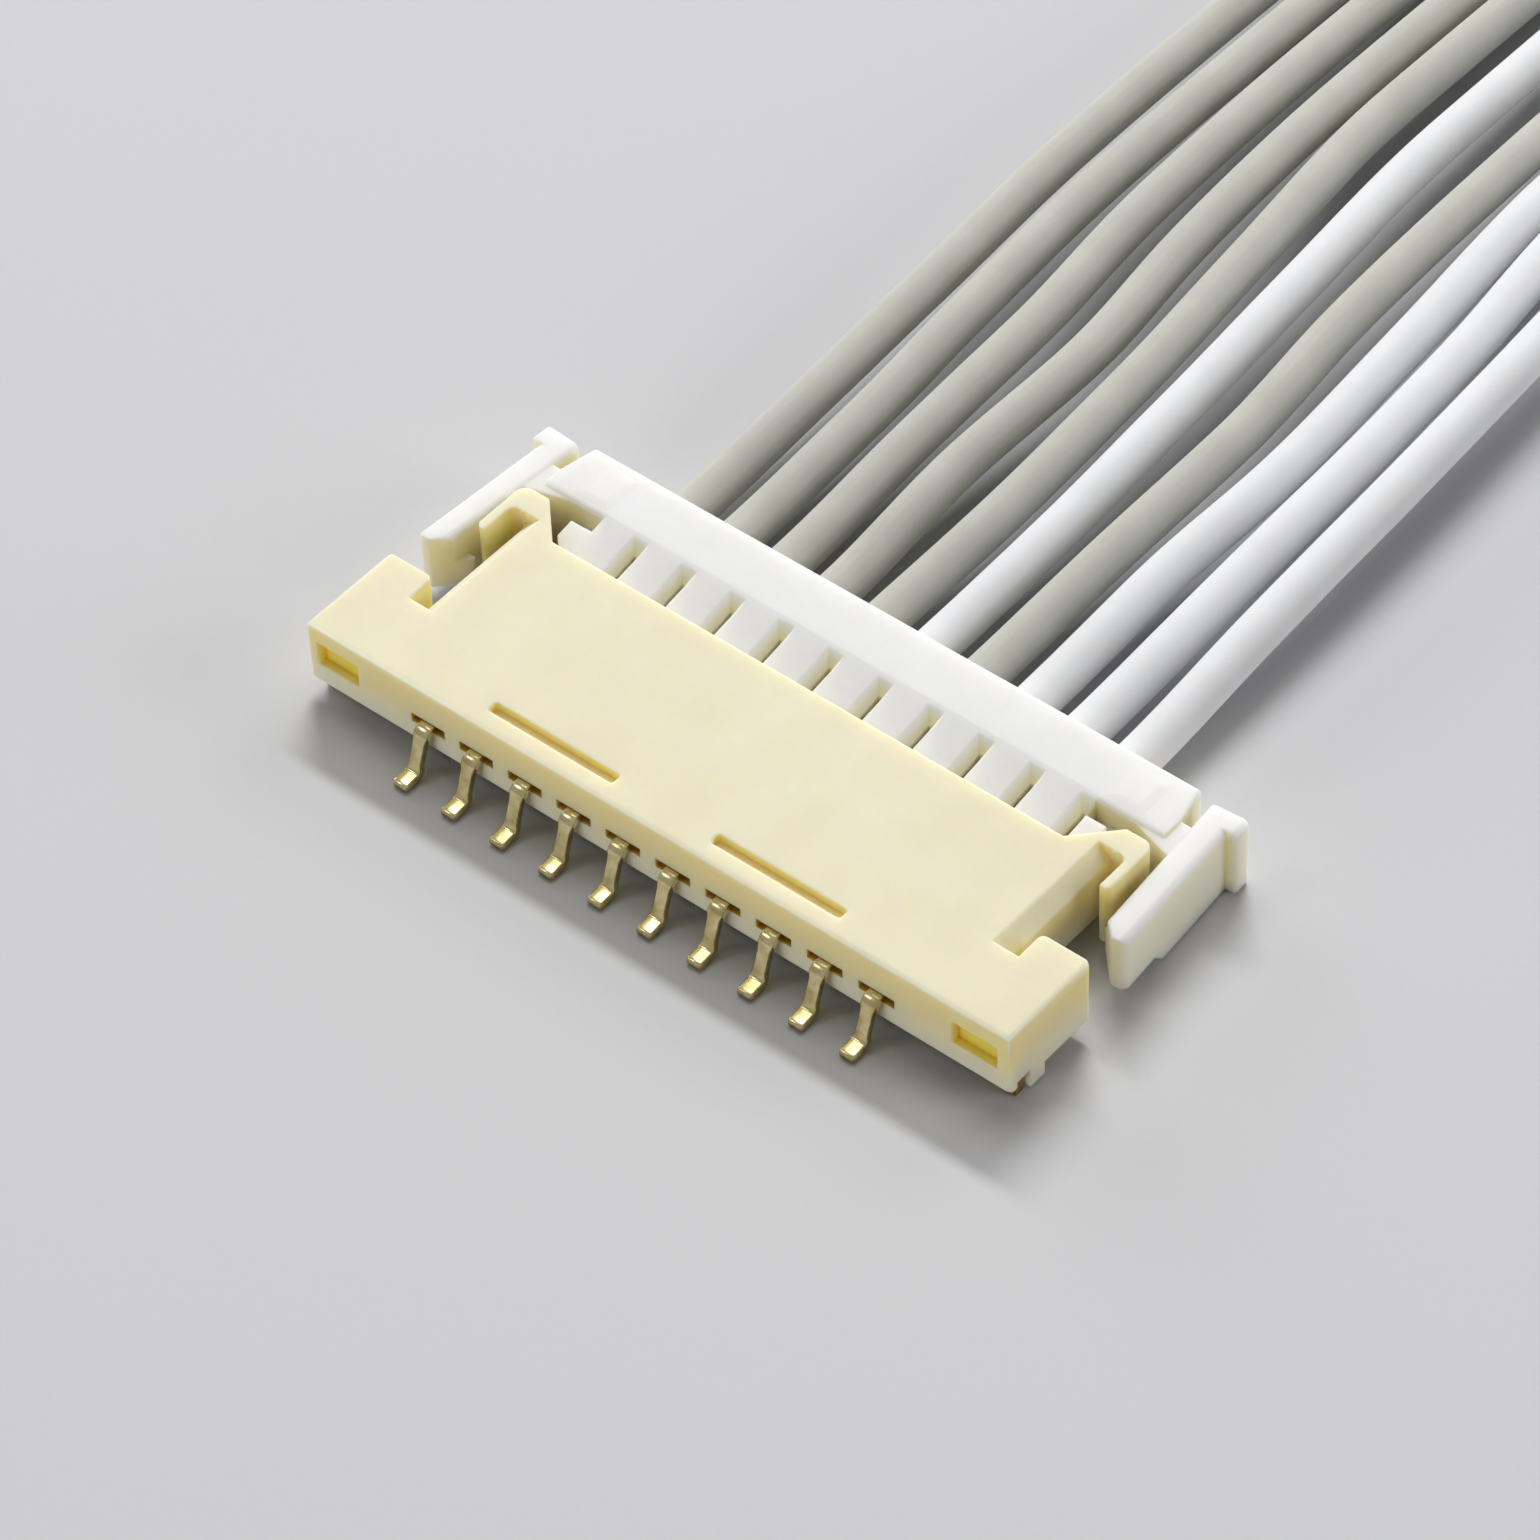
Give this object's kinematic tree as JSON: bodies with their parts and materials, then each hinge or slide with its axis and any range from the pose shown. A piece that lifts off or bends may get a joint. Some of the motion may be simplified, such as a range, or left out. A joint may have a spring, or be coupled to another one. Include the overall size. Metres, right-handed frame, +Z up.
{
  "type": "wire-to-board connector",
  "caption": "Right-angle surface-mount header with its plug pushed home: fine-pitch board leads, side hooks, lock arms and a row of crimped wires with stripped ends.",
  "frame": {"origin": "on the board plane, under the middle of the mated pair without its wires", "axes": "+X along the row of contacts, +Y from the board leads towards the wires, +Z up from the board"},
  "size_m": [0.0178, 0.0754, 0.0019],
  "materials": {
    "header_plastic": "satin",
    "plug_plastic": "satin",
    "lead_metal": "bright plated",
    "tab_metal": "dull plated",
    "terminal_metal": "bright plated",
    "grey_insulation": "satin",
    "white_insulation": "satin",
    "tinned_strands": "tinned"
  },
  "bodies": {
    "header": {"header_housing": "header_plastic", "left_hold_down": "tab_metal", "right_hold_down": "tab_metal", "header_contact_1": "lead_metal", "header_contact_2": "lead_metal", "header_contact_3": "lead_metal", "header_contact_4": "lead_metal", "header_contact_5": "lead_metal", "header_contact_6": "lead_metal", "header_contact_7": "lead_metal", "header_contact_8": "lead_metal", "header_contact_9": "lead_metal", "header_contact_10": "lead_metal"},
    "plug": {"plug_housing": "plug_plastic", "crimp_terminal_1": "terminal_metal", "crimp_terminal_2": "terminal_metal", "crimp_terminal_3": "terminal_metal", "crimp_terminal_4": "terminal_metal", "crimp_terminal_5": "terminal_metal", "crimp_terminal_6": "terminal_metal", "crimp_terminal_7": "terminal_metal", "crimp_terminal_8": "terminal_metal", "crimp_terminal_9": "terminal_metal", "crimp_terminal_10": "terminal_metal", "wire_1": "grey_insulation", "wire_2": "grey_insulation", "wire_3": "grey_insulation", "wire_4": "grey_insulation", "wire_5": "grey_insulation", "wire_6": "white_insulation", "wire_7": "grey_insulation", "wire_8": "white_insulation", "wire_9": "white_insulation", "wire_10": "white_insulation", "stripped_end_1": "tinned_strands", "stripped_end_2": "tinned_strands", "stripped_end_3": "tinned_strands", "stripped_end_4": "tinned_strands", "stripped_end_5": "tinned_strands", "stripped_end_6": "tinned_strands", "stripped_end_7": "tinned_strands", "stripped_end_8": "tinned_strands", "stripped_end_9": "tinned_strands", "stripped_end_10": "tinned_strands"}
  },
  "joints": [
    {"name": "plug_slide", "type": "slide", "parent": "header", "child": "plug", "axis": [0, 1, 0], "range_m": [0, 0.0035]}
  ]
}
